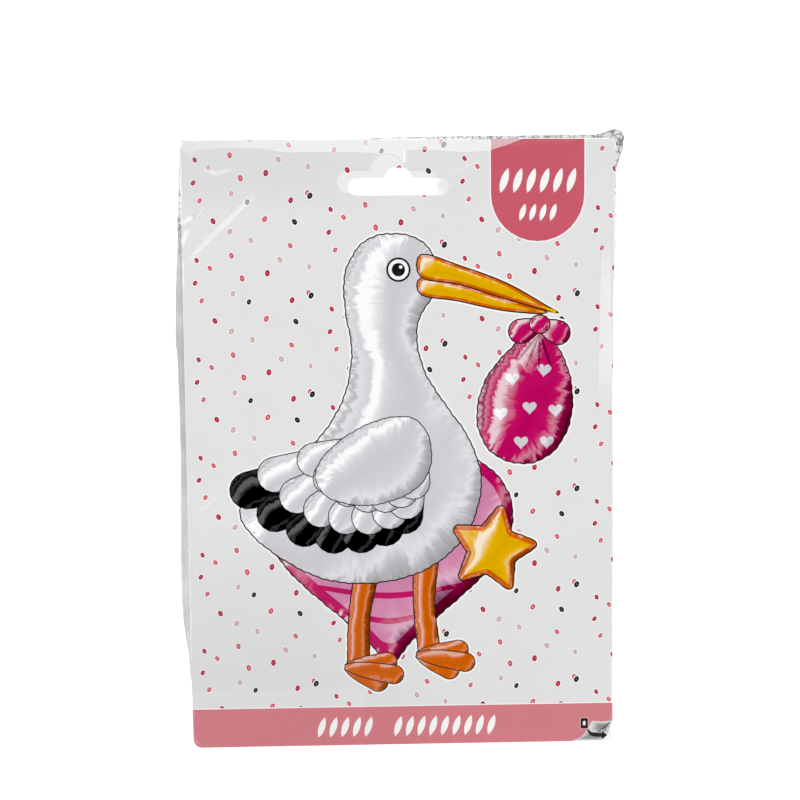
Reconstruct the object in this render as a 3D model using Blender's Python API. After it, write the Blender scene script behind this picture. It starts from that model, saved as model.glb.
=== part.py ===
"""Folded foil balloon with its printed card in a clear film bag with a hang slot.

The packet lies on its back. +X runs to the print's right, +Y to its top and +Z out of its
front. The origin is under the middle of the packet, on the surface that it lies on.
All lengths are in metres.
"""
import bpy
import bmesh
from math import atan2, cos, pi, sin, tan
from mathutils import Vector

# Printed card
CARD_WIDTH = 0.148
CARD_HEIGHT = 0.210
CARD_THICKNESS = 0.00035
CARD_CORNER_RADIUS = 0.0030

# Hang slot in the card: a band with round ends and a hump for the peg on its upper side
CARD_SLOT_WIDTH = 0.0343
CARD_SLOT_BAND = 0.0057
CARD_SLOT_HUMP = 0.0035
CARD_SLOT_HUMP_FOOT = 0.0100
CARD_SLOT_HUMP_TOP = 0.0056
CARD_SLOT_HUMP_ROUND = 0.0020
CARD_SLOT_DROP = 0.0096
CARD_SLOT_SHIFT_LEFT = 0.0003

# Hang slot punched through the bag, a little larger and up and to the left of the card's
BAG_SLOT_WIDTH = 0.0346
BAG_SLOT_BAND = 0.0078
BAG_SLOT_HUMP = 0.0055
BAG_SLOT_HUMP_FOOT = 0.0126
BAG_SLOT_HUMP_TOP = 0.0064
BAG_SLOT_HUMP_ROUND = 0.0045
BAG_SLOT_SHIFT_LEFT = 0.0041
BAG_SLOT_RISE = 0.0006

# Folded balloon: one flattened strip of foil plies that turns back on itself
FOLD_LEAVES = 6
FOLD_LEAF_THICKNESS = 0.0005
FOLD_LEAF_GAP = 0.00024
FOLD_WIDTH = 0.139
FOLD_LENGTH = 0.158
FOLD_OVERHANG = 0.0026
FOLD_DROP = 0.0280
FOLD_SKEW_LENGTH = 0.0240
FOLD_SKEW_WIDTH = 0.0020

# Clear film bag
FILM_THICKNESS = 0.00006
BAG_SIDE_MARGIN = 0.0005
BAG_END_MARGIN = 0.0005
BAG_CORNER_RADIUS = 0.0010

# Creased corner of the bag that stands proud at the upper right
EAR_OUT = 0.0027
EAR_UP = 0.0028
EAR_ALONG_TOP = 0.0095
EAR_ALONG_SIDE = 0.0165
EAR_SHOULDER_TOP = 0.0030
EAR_SHOULDER_SIDE = 0.0075

# Clearance between pieces that rest on each other
FIT_GAP = 0.0003

ARC_STEP = pi / 12
TURN_STEPS = 12
CUTTER_REACH = 0.002

# Levels, from the surface upwards
FOLD_HEIGHT = FOLD_LEAVES * FOLD_LEAF_THICKNESS + (FOLD_LEAVES - 1) * FOLD_LEAF_GAP
FOLD_BOTTOM = FILM_THICKNESS + FIT_GAP
FOLD_TOP = FOLD_BOTTOM + FOLD_HEIGHT
CARD_BOTTOM = FOLD_TOP + FIT_GAP
CARD_TOP = CARD_BOTTOM + CARD_THICKNESS
BAG_TOP = CARD_TOP + FIT_GAP + FILM_THICKNESS
BAG_SHOULDER = CARD_BOTTOM - FIT_GAP

# How far the bag reaches past each edge of the card, its proud corner apart
FILM_ROOM = FIT_GAP + FILM_THICKNESS
BAG_PAST_LEFT = max(BAG_SIDE_MARGIN, FOLD_OVERHANG + FILM_ROOM)
BAG_PAST_RIGHT = max(BAG_SIDE_MARGIN, FOLD_WIDTH - FOLD_OVERHANG - CARD_WIDTH + FILM_ROOM)
BAG_PAST_UPPER = max(BAG_END_MARGIN, -FOLD_DROP + FILM_ROOM)
BAG_PAST_LOWER = max(BAG_END_MARGIN, FOLD_DROP + FOLD_LENGTH - CARD_HEIGHT + FILM_ROOM)

# Middle of the card, placed so that the origin is under the middle of the bag
CARD_X = (BAG_PAST_LEFT - BAG_PAST_RIGHT - EAR_OUT) / 2
CARD_Y = (BAG_PAST_LOWER - BAG_PAST_UPPER - EAR_UP) / 2

# Outlines seen from the front
CARD_LEFT = CARD_X - CARD_WIDTH / 2
CARD_RIGHT = CARD_X + CARD_WIDTH / 2
CARD_UPPER = CARD_Y + CARD_HEIGHT / 2
CARD_LOWER = CARD_Y - CARD_HEIGHT / 2
FOLD_LEFT = CARD_LEFT - FOLD_OVERHANG
FOLD_RIGHT = FOLD_LEFT + FOLD_WIDTH
FOLD_UPPER = CARD_UPPER - FOLD_DROP
FOLD_LOWER = FOLD_UPPER - FOLD_LENGTH
CARD_SLOT_BASE = CARD_UPPER - CARD_SLOT_DROP - CARD_SLOT_HUMP - CARD_SLOT_BAND
BAG_SLOT_BASE = CARD_SLOT_BASE + BAG_SLOT_RISE


def principled(name, colour, roughness, metallic=0.0, transmission=0.0):
    """Return a material with one Principled shader."""
    material = bpy.data.materials.new(name)
    material.use_nodes = True
    material.diffuse_color = colour
    shader = material.node_tree.nodes["Principled BSDF"]
    shader.inputs["Base Color"].default_value = colour
    shader.inputs["Roughness"].default_value = roughness
    shader.inputs["Metallic"].default_value = metallic
    shader.inputs["Transmission Weight"].default_value = transmission
    return material


def rounded(corners):
    """Return an outline with each (x, y, radius) corner, taken in turn, made an arc."""
    outline = []
    for index, (x, y, radius) in enumerate(corners):
        here = Vector((x, y))
        back = Vector(corners[index - 1][:2]) - here
        ahead = Vector(corners[(index + 1) % len(corners)][:2]) - here
        back.normalize()
        ahead.normalize()
        if radius == 0.0:
            outline.append(here)
            continue
        half_angle = back.angle(ahead) / 2
        centre = here + (back + ahead).normalized() * radius / sin(half_angle)
        start = here + back * radius / tan(half_angle) - centre
        turn = start.angle_signed(here + ahead * radius / tan(half_angle) - centre)
        steps = max(2, round(abs(turn) / ARC_STEP))
        first = atan2(start.y, start.x)
        for step in range(steps + 1):
            angle = first - turn * step / steps
            outline.append(centre + Vector((cos(angle), sin(angle))) * radius)
    return without_repeats(outline)


def without_repeats(outline):
    """Return the outline without points that fall on the one before."""
    return [point for index, point in enumerate(outline)
            if (point - outline[index - 1]).length > FIT_GAP / 1000]


def add_object(name, shape, material=None):
    """Link a mesh object made from the bmesh and return it."""
    bmesh.ops.recalc_face_normals(shape, faces=shape.faces)
    mesh = bpy.data.meshes.new(name)
    shape.to_mesh(mesh)
    shape.free()
    if material:
        mesh.materials.append(material)
    added = bpy.data.objects.new(name, mesh)
    bpy.context.collection.objects.link(added)
    return added


def add_prism(name, outline, low, high, material=None):
    """Return the outline as a solid between two heights."""
    shape = bmesh.new()
    face = shape.faces.new([shape.verts.new((point.x, point.y, low)) for point in outline])
    raised = bmesh.ops.extrude_face_region(shape, geom=[face])["geom"]
    lifted = [item for item in raised if isinstance(item, bmesh.types.BMVert)]
    bmesh.ops.translate(shape, verts=lifted, vec=(0.0, 0.0, high - low))
    return add_object(name, shape, material)


def add_loft(name, levels, material=None):
    """Return the closed solid through outlines of equal length, as (outline, height)."""
    shape = bmesh.new()
    rings = []
    for outline, height in levels:
        verts = [shape.verts.new((point.x, point.y, height)) for point in outline]
        rings.append([shape.edges.new((verts[index - 1], verts[index]))
                      for index in range(len(verts))])
    for lower, upper in zip(rings, rings[1:]):
        bmesh.ops.bridge_loops(shape, edges=lower + upper)
    bmesh.ops.contextual_create(shape, geom=rings[0])
    bmesh.ops.contextual_create(shape, geom=rings[-1])
    return add_object(name, shape, material)


def hide_cutter(cutter):
    """Keep a cutting solid out of the finished model."""
    cutter.hide_render = True
    cutter.display_type = "WIRE"


def cut(target, cutter):
    """Take the cutter's space out of the target."""
    hide_cutter(cutter)
    difference = target.modifiers.new(cutter.name, "BOOLEAN")
    difference.operation = "DIFFERENCE"
    difference.solver = "EXACT"
    difference.object = cutter


def rectangle(left, right, lower, upper, radius):
    """Return a rectangle's outline with round corners, counter-clockwise."""
    return rounded([(left, lower, radius), (right, lower, radius),
                    (right, upper, radius), (left, upper, radius)])


def slot_outline(middle, base, width, band, hump, foot, top, crest_round):
    """Return a hang slot: a band with round ends and a hump on its upper side."""
    end = band / 2
    foot_round = hump / 4
    crest = base + band + hump
    shoulder = base + band
    return rounded([
        (middle - width / 2, base, end),
        (middle + width / 2, base, end),
        (middle + width / 2, shoulder, end),
        (middle + foot / 2, shoulder, foot_round),
        (middle + top / 2, crest, crest_round),
        (middle - top / 2, crest, crest_round),
        (middle - foot / 2, shoulder, foot_round),
        (middle - width / 2, shoulder, end),
    ])


def make_card():
    """Make the printed card with its hang slot."""
    paper = principled("card print", (0.80, 0.78, 0.78, 1.0), 0.45)
    outline = rectangle(CARD_LEFT, CARD_RIGHT, CARD_LOWER, CARD_UPPER, CARD_CORNER_RADIUS)
    card = add_prism("printed_card", outline, CARD_BOTTOM, CARD_TOP, paper)
    slot = slot_outline(CARD_X - CARD_SLOT_SHIFT_LEFT, CARD_SLOT_BASE, CARD_SLOT_WIDTH,
                        CARD_SLOT_BAND, CARD_SLOT_HUMP, CARD_SLOT_HUMP_FOOT,
                        CARD_SLOT_HUMP_TOP, CARD_SLOT_HUMP_ROUND)
    cut(card, add_prism("card slot cutter", slot,
                        CARD_BOTTOM - CUTTER_REACH, CARD_TOP + CUTTER_REACH))


def fold_section():
    """Return the folded strip's cross-section, x across and y up, as one closed outline."""
    pitch = FOLD_LEAF_THICKNESS + FOLD_LEAF_GAP
    inner = FOLD_LEAF_GAP / 2
    outer = inner + FOLD_LEAF_THICKNESS
    under = [Vector((FOLD_LEFT, FOLD_BOTTOM))]
    over = [Vector((FOLD_LEFT, FOLD_BOTTOM + FOLD_LEAF_THICKNESS))]
    for turn in range(FOLD_LEAVES - 1):
        side = 1 - 2 * (turn % 2)
        edge = FOLD_RIGHT if side > 0 else FOLD_LEFT
        centre = Vector((edge - side * outer, FOLD_BOTTOM + outer + turn * pitch))
        for step in range(TURN_STEPS + 1):
            angle = pi * step / TURN_STEPS - pi / 2
            spoke = Vector((side * cos(angle), sin(angle)))
            under.append(centre + spoke * (outer if side > 0 else inner))
            over.append(centre + spoke * (inner if side > 0 else outer))
    heading_left = FOLD_LEAVES % 2 == 0
    end = FOLD_LEFT if heading_left else FOLD_RIGHT
    under.append(Vector((end, FOLD_TOP - (0.0 if heading_left else FOLD_LEAF_THICKNESS))))
    over.append(Vector((end, FOLD_TOP - (FOLD_LEAF_THICKNESS if heading_left else 0.0))))
    return under + over[::-1]


def make_folded_balloon():
    """Make the folded foil balloon, with its corners past the card's edge drawn in."""
    foil = principled("silver foil", (0.56, 0.57, 0.58, 1.0), 0.32, metallic=1.0)
    shape = bmesh.new()
    face = shape.faces.new([shape.verts.new((point.x, FOLD_LOWER, point.y))
                            for point in fold_section()])
    raised = bmesh.ops.extrude_face_region(shape, geom=[face])["geom"]
    lifted = [item for item in raised if isinstance(item, bmesh.types.BMVert)]
    bmesh.ops.translate(shape, verts=lifted, vec=(0.0, FOLD_LENGTH, 0.0))
    balloon = add_object("folded_balloon", shape, foil)
    for end, way in ((FOLD_LOWER, -1), (FOLD_UPPER, 1)):
        tip = Vector((FOLD_LEFT + FOLD_SKEW_WIDTH, end))
        heel = Vector((FOLD_LEFT, end - way * FOLD_SKEW_LENGTH))
        along = (tip - heel).normalized() * CUTTER_REACH
        corner = [heel - along, tip + along, tip + along - Vector((CUTTER_REACH * 4, 0.0)),
                  heel - along - Vector((CUTTER_REACH * 4, 0.0))]
        name = "upper corner cutter" if way > 0 else "lower corner cutter"
        cut(balloon, add_prism(name, corner, 0.0, CARD_TOP))


def bag_outline(inset):
    """Return the bag's full outline, with its proud corner, drawn in by the inset."""
    left = CARD_LEFT - BAG_PAST_LEFT + inset
    right = CARD_RIGHT + BAG_PAST_RIGHT - inset
    lower = CARD_LOWER - BAG_PAST_LOWER + inset
    upper = CARD_UPPER + BAG_PAST_UPPER - inset
    return cornered_outline(left, right, lower, upper, EAR_OUT, EAR_UP)


def back_outline(inset):
    """Return the flat of the bag's back, under the folded balloon, drawn in by the inset."""
    room = FILM_ROOM - inset
    return cornered_outline(FOLD_LEFT - room, FOLD_RIGHT + room,
                            FOLD_LOWER - room, FOLD_UPPER + room, 0.0, 0.0)


def cornered_outline(left, right, lower, upper, out, up):
    """Return a rectangle with its upper right corner pushed out and up by so much."""
    return rounded([
        (left, lower, BAG_CORNER_RADIUS),
        (right, lower, BAG_CORNER_RADIUS),
        (right, upper - EAR_ALONG_SIDE, 0.0),
        (right + out, upper - EAR_SHOULDER_SIDE, 0.0),
        (right + out, upper + up, BAG_CORNER_RADIUS),
        (right - EAR_SHOULDER_TOP, upper + up, 0.0),
        (right - EAR_ALONG_TOP, upper, 0.0),
        (left, upper, BAG_CORNER_RADIUS),
    ])


def add_bag_form(name, inset, material=None):
    """Return the bag's solid form with every face drawn in by the inset."""
    return add_loft(name, [
        (back_outline(inset), inset),
        (bag_outline(inset), BAG_SHOULDER + inset),
        (bag_outline(inset), BAG_TOP - inset),
    ], material)


def make_bag():
    """Make the clear bag, hollow, with a hang slot through its front and back."""
    film = principled("clear film", (1.0, 1.0, 1.0, 1.0), 0.08, transmission=1.0)
    bag = add_bag_form("film_bag", 0.0, film)
    cut(bag, add_bag_form("bag cavity cutter", FILM_THICKNESS))
    slot = slot_outline(CARD_X - BAG_SLOT_SHIFT_LEFT, BAG_SLOT_BASE, BAG_SLOT_WIDTH,
                        BAG_SLOT_BAND, BAG_SLOT_HUMP, BAG_SLOT_HUMP_FOOT,
                        BAG_SLOT_HUMP_TOP, BAG_SLOT_HUMP_ROUND)
    cut(bag, add_prism("bag slot cutter", slot, -CUTTER_REACH, BAG_TOP + CUTTER_REACH))


def main():
    """Clear the scene and make the packet's three pieces."""
    for old in list(bpy.data.objects):
        bpy.data.objects.remove(old)
    make_card()
    make_folded_balloon()
    make_bag()


main()
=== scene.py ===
"""Looks of a foil balloon packet: a printed card and a folded silver balloon in a clear bag.

The packet lies on its back. +X runs to the print's right, +Y to its top and +Z out of its
front. The print, the film and the fold are drawn in millimetres and placed in metres.
"""
from collections import namedtuple
from math import atan2, cos, exp, hypot, pi, radians, sin, tan

import bmesh
import bpy
import numpy as np
from mathutils import Euler, Matrix, Vector, noise
from mathutils.geometry import delaunay_2d_cdt


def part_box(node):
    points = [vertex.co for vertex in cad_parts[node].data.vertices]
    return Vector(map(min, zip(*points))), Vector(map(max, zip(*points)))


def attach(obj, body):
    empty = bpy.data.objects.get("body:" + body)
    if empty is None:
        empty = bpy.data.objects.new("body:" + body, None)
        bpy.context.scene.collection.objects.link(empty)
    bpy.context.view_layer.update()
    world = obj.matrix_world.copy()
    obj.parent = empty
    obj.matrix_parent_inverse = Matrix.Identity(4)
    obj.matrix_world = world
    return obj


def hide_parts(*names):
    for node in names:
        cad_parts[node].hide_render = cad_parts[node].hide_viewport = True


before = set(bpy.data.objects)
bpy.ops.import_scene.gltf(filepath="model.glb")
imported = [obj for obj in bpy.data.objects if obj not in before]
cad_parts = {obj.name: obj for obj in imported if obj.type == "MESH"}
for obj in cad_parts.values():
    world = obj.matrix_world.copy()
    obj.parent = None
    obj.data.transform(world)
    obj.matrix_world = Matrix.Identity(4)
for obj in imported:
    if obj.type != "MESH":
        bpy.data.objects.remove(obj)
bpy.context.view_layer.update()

bl_info = {
    "name": "Foil balloon packet",
    "version": (1, 0, 0),
    "blender": (4, 5, 0),
    "location": "View3D > Sidebar > Packet",
    "description": "Adds a printed card and a folded foil balloon in a clear bag, and a stage",
    "category": "Add Mesh",
}

MM = 0.001
CARD_LOW, CARD_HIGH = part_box("printed_card")
FOLD_LOW, FOLD_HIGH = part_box("folded_balloon")
BAG_LOW, BAG_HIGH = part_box("film_bag")

# The drawing's origin, and the card's edges as the drawing sees them, in millimetres
CARD_RIGHT_IN_DRAWING = 73.5
ORIGIN = Vector((CARD_HIGH.x - CARD_RIGHT_IN_DRAWING * MM, (CARD_LOW.y + CARD_HIGH.y) / 2,
                 CARD_HIGH.z))
CARD_LEFT = (CARD_LOW.x - ORIGIN.x) / MM
CARD_RIGHT = (CARD_HIGH.x - ORIGIN.x) / MM
HALF_HEIGHT = (CARD_HIGH.y - CARD_LOW.y) / MM / 2

BLACK = (0.0, 0.0, 0.0)
WHITE = (1.0, 1.0, 1.0)
CUT = "cut away"


def linear(red, green, blue):
    """Return a print colour given as 0 to 255 in the linear values that shaders take."""
    return tuple(((part / 255 + 0.055) / 1.055) ** 2.4 for part in (red, green, blue))


def mixed(colour, other, share):
    """Return a colour part of the way from one to another."""
    return tuple(a + (b - a) * share for a, b in zip(colour, other))


def clamp(value, high=1.0):
    """Return the value held between 0 and a highest one."""
    return max(0.0, min(high, value))


def table(points):
    """Return points as the rows of an array."""
    return np.array([point[:] for point in points])


# Sizes and colours that a user would change


def length_property(name, description, default):
    """Return a length in millimetres."""
    return bpy.props.FloatProperty(name=name, description=description, default=default,
                                   min=0.0, unit="NONE", subtype="NONE")


def share_property(name, description, default):
    """Return a share from 0 to 1."""
    return bpy.props.FloatProperty(name=name, description=description, default=default,
                                   min=0.0, max=1.0, subtype="FACTOR")


def light_property(name, description, default):
    """Return an amount of light."""
    return bpy.props.FloatProperty(name=name, description=description, default=default, min=0.0)


def colour_property(name, description, default):
    """Return a colour."""
    return bpy.props.FloatVectorProperty(name=name, description=description, default=default,
                                         size=3, min=0.0, max=1.0, subtype="COLOR")


class CardSettings(bpy.types.PropertyGroup):
    """Sizes and inks of the printed card."""

    corner: length_property("Corner", "Radius of the card's corners in millimetres", 3.0)
    band: length_property("Band", "Height of the pink band in millimetres", 13.6)
    tab_width: length_property("Tab width", "Width of the pink tab in millimetres", 32.0)
    tab_drop: length_property("Tab drop", "Height of the pink tab in millimetres", 34.6)
    paper: colour_property("Paper", "Printed light ground", linear(230, 230, 230))
    white: colour_property("White", "Bare white board", linear(250, 250, 249))
    pink: colour_property("Pink", "Band along the bottom", linear(214, 126, 135))
    rose: colour_property("Rose", "Tab at the top", linear(203, 88, 106))
    crimson: colour_property("Crimson", "Crimson confetti", linear(182, 0, 58))
    salmon: colour_property("Salmon", "Salmon confetti", linear(212, 84, 100))
    beige: colour_property("Beige", "Beige confetti", linear(208, 172, 170))
    black: colour_property("Black", "Outlines and black confetti", linear(3, 2, 2))
    foil_white: colour_property("White foil", "White foil in the picture", linear(214, 212, 217))
    foil_pink: colour_property("Pink foil", "Pink foil in the picture", linear(214, 142, 178))
    foil_magenta: colour_property("Magenta foil", "Deep pink foil", linear(196, 38, 104))
    foil_gold: colour_property("Gold foil", "Gold foil in the picture", linear(232, 180, 30))
    foil_orange: colour_property("Orange foil", "Orange foil", linear(214, 104, 28))
    foil_black: colour_property("Black foil", "Black foil in the picture", linear(26, 23, 27))


class BalloonSettings(bpy.types.PropertyGroup):
    """Sizes and finish of the folded balloon."""

    leaves: bpy.props.IntProperty(name="Leaves", description="Leaves of the folded strip",
                                  default=6, min=2)
    leaf: length_property("Leaf", "Thickness of one leaf of plies in millimetres", 0.5)
    gap: length_property("Gap", "Space between two leaves in millimetres", 0.24)
    crinkle: length_property("Crinkle", "Height of the crinkles in millimetres", 0.20)
    silver: colour_property("Silver", "Bare foil", (0.84, 0.84, 0.85))
    roughness: share_property("Roughness", "Roughness of the foil", 0.40)


class FilmSettings(bpy.types.PropertyGroup):
    """Sizes and finish of the clear bag."""

    thickness: length_property("Thickness", "Thickness of the film in millimetres", 0.06)
    spacing: length_property("Spacing", "Distance between the mesh's points in millimetres", 1.25)
    wave: length_property("Wave", "Height of the film's slow waves in millimetres", 0.22)
    mirror: share_property("Mirror", "Light that one face reflects", 0.02)
    # Painted shade: how dark a grey layer lies over the print where the film is taken to lie loose
    painted_shade: share_property("Veil", "Dullness where the film lies loose", 0.04)


class StageSettings(bpy.types.PropertyGroup):
    """Floor, lights and camera."""

    floor: colour_property("Floor", "Pale floor", (0.95, 0.95, 0.95))
    glow: light_property("Floor glow", "Light that the floor adds", 0.5)
    floor_size: bpy.props.FloatProperty(name="Floor size", description="Side of the floor",
                                        default=3.0, unit="LENGTH")
    light: light_property("Light", "Brightness of the soft boxes", 3.1)
    sky: light_property("Sky", "Brightness overhead", 0.10)
    walls: light_property("Walls", "Brightness of the pale walls", 0.80)
    black_point: share_property("Black point", "Light that the picture shows as black", 0.03)
    lens: bpy.props.FloatProperty(name="Lens", description="Focal length in millimetres",
                                  default=54.0, min=1.0)


# Shader nodes


class Socket:
    """A shader socket that takes part in Python expressions."""

    def __init__(self, finish, output):
        self.finish = finish
        self.output = output

    def __add__(self, other):
        return self.finish.math("ADD", self, other)

    def __radd__(self, other):
        return self.finish.math("ADD", other, self)

    def __sub__(self, other):
        return self.finish.math("SUBTRACT", self, other)

    def __rsub__(self, other):
        return self.finish.math("SUBTRACT", other, self)

    def __mul__(self, other):
        return self.finish.math("MULTIPLY", self, other)

    def __rmul__(self, other):
        return self.finish.math("MULTIPLY", other, self)

    def __truediv__(self, other):
        return self.finish.math("DIVIDE", self, other)

    def __pow__(self, other):
        return self.finish.math("POWER", self, other)


class Finish:
    """A material whose nodes are added one by one."""

    def __init__(self, name, kind="materials"):
        self.material = getattr(bpy.data, kind).new(name)
        self.material.use_nodes = True
        self.tree = self.material.node_tree
        self.tree.nodes.clear()

    def node(self, kind, output, settings, values):
        """Add a node, settings before sockets, and return one of its outputs."""
        added = self.tree.nodes.new(kind)
        for key, value in settings.items():
            if key == "stops":
                self.set_stops(added.color_ramp, value)
            else:
                setattr(added, key, value)
        for key, value in values.items():
            socket = next(item for item in added.inputs if key in (item.identifier, item.name))
            if isinstance(value, Socket):
                self.tree.links.new(value.output, socket)
            else:
                socket.default_value = value
        found = next(item for item in added.outputs if output in (item.identifier, item.name))
        return Socket(self, found)

    def set_stops(self, ramp, stops):
        """Give a colour ramp its stops, as (place, colour)."""
        while len(ramp.elements) < len(stops):
            ramp.elements.new(1.0)
        for element, (place, colour) in zip(ramp.elements, stops):
            element.position = place
            element.color = (*colour, 1.0)

    def math(self, operation, first, second=0.0):
        """Return the result of a Math node."""
        return self.node("ShaderNodeMath", "Value", {"operation": operation},
                         {"Value": first, "Value_001": second})

    def place(self):
        """Return the Object coordinates."""
        return self.node("ShaderNodeTexCoord", "Object", {}, {})

    def scaled(self, vector, scale):
        """Return a vector multiplied part by part."""
        return self.node("ShaderNodeVectorMath", "Vector", {"operation": "MULTIPLY"},
                         {"Vector": vector, "Vector_001": scale})

    def noise(self, vector, scale, detail=2.0):
        """Return noise from 0 to 1."""
        return self.node("ShaderNodeTexNoise", "Fac", {},
                         {"Vector": vector, "Scale": scale, "Detail": detail})

    def cells(self, vector, scale):
        """Return the distance from the edges of a cell pattern, as crinkles have."""
        return self.node("ShaderNodeTexVoronoi", "Distance", {"feature": "DISTANCE_TO_EDGE"},
                         {"Vector": vector, "Scale": scale})

    def attribute(self, name):
        """Return the three parts of a mesh attribute."""
        return self.parts(self.node("ShaderNodeAttribute", "Vector", {"attribute_name": name}, {}))

    def ramp(self, factor, stops):
        """Return a colour ramp's colour."""
        return self.node("ShaderNodeValToRGB", "Color", {"stops": stops}, {"Fac": factor})

    def blend(self, factor, first, second):
        """Return a mix of two colours."""
        first = first if isinstance(first, Socket) else (*first, 1.0)
        second = second if isinstance(second, Socket) else (*second, 1.0)
        return self.node("ShaderNodeMix", "Result_Color", {"data_type": "RGBA"},
                         {"Factor_Float": factor, "A_Color": first, "B_Color": second})

    def bump(self, height, depth, strength=1.0):
        """Return the normal of a surface whose relief is so many metres deep."""
        return self.node("ShaderNodeBump", "Normal", {},
                         {"Height": height, "Distance": depth, "Strength": strength})

    def parts(self, vector):
        """Return a vector's three parts."""
        return [self.node("ShaderNodeSeparateXYZ", axis, {}, {"Vector": vector})
                for axis in "XYZ"]

    def surface(self, values):
        """Return a Principled shader with these sockets set."""
        return self.node("ShaderNodeBsdfPrincipled", "BSDF", {}, values)

    def clear(self, colour):
        """Return a shader that lets light through."""
        return self.node("ShaderNodeBsdfTransparent", "BSDF", {}, {"Color": (*colour, 1.0)})

    def mix(self, share, first, second):
        """Return a mix of two shaders."""
        return self.node("ShaderNodeMixShader", "Shader", {}, {
            "Fac": share, "Shader": first, "Shader_001": second})

    def close(self, shader, output="ShaderNodeOutputMaterial"):
        """Send the shader to the output and return the material."""
        out = self.tree.nodes.new(output)
        self.tree.links.new(shader.output, out.inputs["Surface"])
        return self.material


# Outlines, as lists of points in millimetres


def at(x, y):
    """Return a point of a drawing."""
    return Vector((x, y))


def oval(x, y, across, up, turn=0.0, steps=12):
    """Return an ellipse with these half axes."""
    spin = Matrix.Rotation(turn, 2)
    angles = [2 * pi * step / steps for step in range(steps)]
    return [at(x, y) + spin @ at(across * cos(angle), up * sin(angle)) for angle in angles]


def on_curve(before, here, after, beyond, t):
    """Return a point on the smooth curve through four points, between the middle two."""
    return 0.5 * (2 * here + (after - before) * t
                  + (2 * before - 5 * here + 4 * after - beyond) * t ** 2
                  + (3 * here - before - 3 * after + beyond) * t ** 3)


def smooth(points, steps=6):
    """Return a smooth closed outline through the points."""
    points = [at(*point) for point in points]
    outline = []
    for index in range(len(points)):
        near = [points[(index + shift) % len(points)] for shift in (-1, 0, 1, 2)]
        outline += [on_curve(*near, step / steps) for step in range(steps)]
    return outline


def rounded(corners):
    """Return an outline with each (x, y, radius) corner, taken in turn, made an arc."""
    outline = []
    arc_step = radians(12)
    for index, (x, y, radius) in enumerate(corners):
        here = at(x, y)
        back = at(*corners[index - 1][:2]) - here
        ahead = at(*corners[(index + 1) % len(corners)][:2]) - here
        back.normalize()
        ahead.normalize()
        if radius == 0.0:
            outline.append(here)
            continue
        half_angle = back.angle(ahead) / 2
        centre = here + (back + ahead).normalized() * radius / sin(half_angle)
        start = here + back * radius / tan(half_angle) - centre
        turn = start.angle_signed(here + ahead * radius / tan(half_angle) - centre)
        steps = max(3, round(abs(turn) / arc_step))
        first = atan2(start.y, start.x)
        for step in range(steps + 1):
            angle = first - turn * step / steps
            outline.append(centre + at(cos(angle), sin(angle)) * radius)
    return [point for index, point in enumerate(outline)
            if (point - outline[index - 1]).length > 0.001]


def box_outline(left, right, lower, upper, radius=0.0):
    """Return a rectangle with round corners, counter-clockwise."""
    return rounded([(left, lower, radius), (right, lower, radius),
                    (right, upper, radius), (left, upper, radius)])


def band_outline(points, widths, steps=6):
    """Return a band that follows an open line and has a width at each of its points."""
    left, right = [], []
    count = len(points)
    for index in range(count - 1):
        before = at(*points[max(index - 1, 0)])
        here = at(*points[index])
        after = at(*points[index + 1])
        beyond = at(*points[min(index + 2, count - 1)])
        last = steps + 1 if index == count - 2 else steps
        for step in range(last):
            t = step / steps
            place = on_curve(before, here, after, beyond, t)
            heading = (after - before) * (1 - t) + (beyond - here) * t
            across = at(-heading.y, heading.x).normalized()
            half = (widths[index] * (1 - t) + widths[index + 1] * t) / 2
            left.append(place + across * half)
            right.append(place - across * half)
    return right + left[::-1]


def leaf(x, y, length, width, turn, steps=8):
    """Return a leaf with sharp tips that starts at a point."""
    spin = Matrix.Rotation(turn, 2)
    under, over = [], []
    for step in range(1, steps):
        run = step / steps
        half = width / 2 * sin(pi * run) ** 0.75
        under.append(at(x, y) + spin @ at(length * run, -half))
        over.append(at(x, y) + spin @ at(length * run, half))
    return [at(x, y)] + under + [at(x, y) + spin @ at(length, 0.0)] + over[::-1]


def feather(x, y, length, width, turn):
    """Return a feather or toe that starts at a point and has a round tip."""
    spin = Matrix.Rotation(turn, 2)
    side = [at(0.15 * length, 0.30 * width), at(0.4 * length, 0.43 * width)]
    tip = [at(length - width / 2 + width / 2 * sin(pi * step / 8), width / 2 * cos(pi * step / 8))
           for step in range(9)]
    over = [at(0.0, 0.12 * width)] + side + tip[:4]
    under = [at(point.x, -point.y) for point in over]
    return [at(x, y) + spin @ point for point in under + [tip[4]] + over[::-1]]


def heart(x, y, width, turn=0.0, steps=28):
    """Return a heart about its middle."""
    spin = Matrix.Rotation(turn, 2)
    outline = []
    for step in range(steps):
        t = -2 * pi * (step + 0.5) / steps
        across = 16 * sin(t) ** 3
        up = 13 * cos(t) - 5 * cos(2 * t) - 2 * cos(3 * t) - cos(4 * t) + 2.5
        outline.append(at(x, y) + spin @ at(across, up) * width / 32)
    return outline


def star(x, y, reach, turn=0.0):
    """Return a five-pointed star with soft points."""
    corners = []
    for point in range(10):
        angle = turn + pi / 2 + pi * point / 5
        far = reach if point % 2 == 0 else reach * 0.52
        soft = reach * (0.09 if point % 2 == 0 else 0.05)
        corners.append((x + far * cos(angle), y + far * sin(angle), soft))
    return rounded(corners)


def grown(outline, amount):
    """Return the outline pushed outwards all round."""
    area = sum(a.x * b.y - b.x * a.y for a, b in zip(outline, outline[1:] + outline[:1]))
    side = 1 if area > 0 else -1
    pushed = []
    for index, point in enumerate(outline):
        before = (point - outline[index - 1]).normalized()
        after = (outline[(index + 1) % len(outline)] - point).normalized()
        along = (before + after).normalized()
        pushed.append(point + at(along.y, -along.x) * amount * side)
    return pushed


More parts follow.
